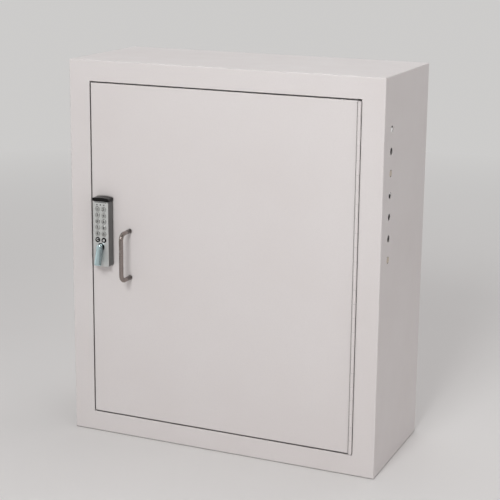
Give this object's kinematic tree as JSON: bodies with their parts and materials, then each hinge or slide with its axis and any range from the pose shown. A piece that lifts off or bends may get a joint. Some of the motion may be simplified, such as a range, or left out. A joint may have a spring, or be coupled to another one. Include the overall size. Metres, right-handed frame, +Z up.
{
  "type": "lockable medicine cabinet",
  "caption": "Steel wall cabinet with an inset door on a continuous hinge, keypad cam lock, bar handle and adjustable shelves.",
  "frame": {"origin": "centre of the case's bottom face, which the cabinet stands on", "axes": "+Z up, the door faces -Y, +X to the viewer's right when the door is seen from the front"},
  "size_m": [0.6096, 0.292, 0.7176],
  "materials": {
    "painted_steel": "satin powder coat, warm light grey",
    "peg_nylon": "moulded nylon, coloured to the paint",
    "zinc_steel": "zinc-plated steel",
    "handle_stainless": "satin stainless steel",
    "lock_silver": "silver lacquer on a die casting",
    "cap_black": "black moulded plastic",
    "key_chrome": "plated keys",
    "key_black": "black keys",
    "knob_chrome": "satin chrome plate",
    "lens": "smoked lens",
    "circuit_board": "green laminate",
    "cell_steel": "nickel-plated can",
    "black_rubber": "moulded rubber"
  },
  "bodies": {
    "case": {"left_side_panel": "painted_steel", "right_side_panel": "painted_steel", "top_panel": "painted_steel", "bottom_panel": "painted_steel", "back_panel": "painted_steel", "left_stop_strip": "painted_steel", "top_stop_strip": "painted_steel", "bottom_stop_strip": "painted_steel", "side_shelf_pegs": "peg_nylon", "rear_shelf_pegs": "peg_nylon", "upper_shelf": "painted_steel", "lower_shelf": "painted_steel", "hinge_frame_leaf": "painted_steel", "hinge_pin": "zinc_steel", "hinge_frame_rivets": "zinc_steel", "door_bumpers": "black_rubber"},
    "door": {"hinge_door_leaf": "painted_steel", "hinge_door_rivets": "zinc_steel", "door_panel": "painted_steel", "door_stiffener": "painted_steel", "handle": "handle_stainless", "handle_screws": "zinc_steel", "handle_washers": "zinc_steel", "lock_gasket": "black_rubber", "lock_base": "lock_silver", "lock_face": "lock_silver", "lock_cap": "cap_black", "lock_board": "circuit_board", "lock_cells": "cell_steel", "lock_solenoid": "zinc_steel", "lock_lenses": "lens", "knob_washer": "cap_black", "lock_screws": "zinc_steel", "lock_washers": "zinc_steel"},
    "knob": {"lock_knob": "knob_chrome", "lock_spindle": "zinc_steel", "lock_cam": "zinc_steel", "cam_screw": "zinc_steel"},
    "key_1": {"key_1": "key_chrome"},
    "key_2": {"key_2": "key_chrome"},
    "key_3": {"key_3": "key_chrome"},
    "key_4": {"key_4": "key_chrome"},
    "key_5": {"key_5": "key_chrome"},
    "key_6": {"key_6": "key_chrome"},
    "key_7": {"key_7": "key_chrome"},
    "key_8": {"key_8": "key_chrome"},
    "key_9": {"key_9": "key_chrome"},
    "key_10": {"key_10": "key_chrome"},
    "key_11": {"key_11": "key_black"},
    "key_12": {"key_12": "key_black"}
  },
  "joints": [
    {"name": "door_hinge", "type": "hinge", "parent": "case", "child": "door", "pos_m": [0.25965, -0.128, 0.3588], "axis": [0, 0, 1], "range_deg": [0, 180]},
    {"name": "knob_turn", "type": "hinge", "parent": "door", "child": "knob", "pos_m": [-0.2332, -0.145, 0.3729], "axis": [0, 1, 0], "range_deg": [0, 90]},
    {"name": "key_1_press", "type": "slide", "parent": "door", "child": "key_1", "axis": [0, 1, 0], "range_m": [0, 0.0008], "stiffness_N_per_m": 500},
    {"name": "key_2_press", "type": "slide", "parent": "door", "child": "key_2", "axis": [0, 1, 0], "range_m": [0, 0.0008], "stiffness_N_per_m": 500},
    {"name": "key_3_press", "type": "slide", "parent": "door", "child": "key_3", "axis": [0, 1, 0], "range_m": [0, 0.0008], "stiffness_N_per_m": 500},
    {"name": "key_4_press", "type": "slide", "parent": "door", "child": "key_4", "axis": [0, 1, 0], "range_m": [0, 0.0008], "stiffness_N_per_m": 500},
    {"name": "key_5_press", "type": "slide", "parent": "door", "child": "key_5", "axis": [0, 1, 0], "range_m": [0, 0.0008], "stiffness_N_per_m": 500},
    {"name": "key_6_press", "type": "slide", "parent": "door", "child": "key_6", "axis": [0, 1, 0], "range_m": [0, 0.0008], "stiffness_N_per_m": 500},
    {"name": "key_7_press", "type": "slide", "parent": "door", "child": "key_7", "axis": [0, 1, 0], "range_m": [0, 0.0008], "stiffness_N_per_m": 500},
    {"name": "key_8_press", "type": "slide", "parent": "door", "child": "key_8", "axis": [0, 1, 0], "range_m": [0, 0.0008], "stiffness_N_per_m": 500},
    {"name": "key_9_press", "type": "slide", "parent": "door", "child": "key_9", "axis": [0, 1, 0], "range_m": [0, 0.0008], "stiffness_N_per_m": 500},
    {"name": "key_10_press", "type": "slide", "parent": "door", "child": "key_10", "axis": [0, 1, 0], "range_m": [0, 0.0008], "stiffness_N_per_m": 500},
    {"name": "key_11_press", "type": "slide", "parent": "door", "child": "key_11", "axis": [0, 1, 0], "range_m": [0, 0.0008], "stiffness_N_per_m": 500},
    {"name": "key_12_press", "type": "slide", "parent": "door", "child": "key_12", "axis": [0, 1, 0], "range_m": [0, 0.0008], "stiffness_N_per_m": 500}
  ]
}
